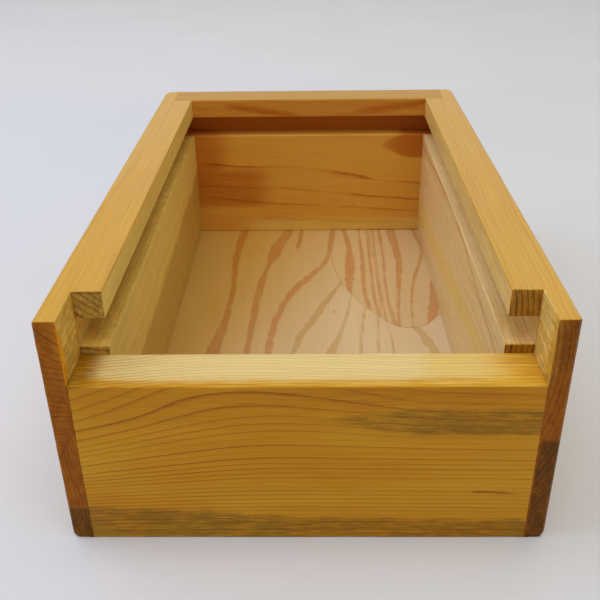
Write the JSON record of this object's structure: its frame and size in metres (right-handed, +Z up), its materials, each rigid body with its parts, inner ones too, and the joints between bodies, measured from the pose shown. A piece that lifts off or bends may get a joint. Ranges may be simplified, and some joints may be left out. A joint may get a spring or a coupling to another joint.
{
  "type": "sliding-lid box body",
  "caption": "Open pine block-mold box with rabbeted corners, a low front board, a groove for a sliding lid and a plywood bottom.",
  "frame": {"origin": "middle of the underside", "axes": "+Y from the mouth, where the lid would slide in, to the back; +X to the right seen from the mouth; +Z up"},
  "size_m": [0.184, 0.292, 0.0985],
  "materials": {
    "left_side_pine": "satin clear lacquer",
    "right_side_pine": "satin clear lacquer",
    "front_board_pine": "satin clear lacquer",
    "back_board_pine": "satin clear lacquer",
    "core_ply": "bare rough ply edge",
    "face_veneer": "satin clear lacquer",
    "back_veneer": "thin clear lacquer",
    "patch_veneer": "satin clear lacquer",
    "brad_steel": "dull bright steel wire"
  },
  "bodies": {
    "root": {"left_side": "left_side_pine", "right_side": "right_side_pine", "front_board": "front_board_pine", "back_board": "back_board_pine", "bottom_core": "core_ply", "bottom_face_veneer": "face_veneer", "bottom_back_veneer": "back_veneer", "veneer_patch": "patch_veneer", "corner_brads": "brad_steel", "bottom_brads": "brad_steel"}
  },
  "joints": []
}
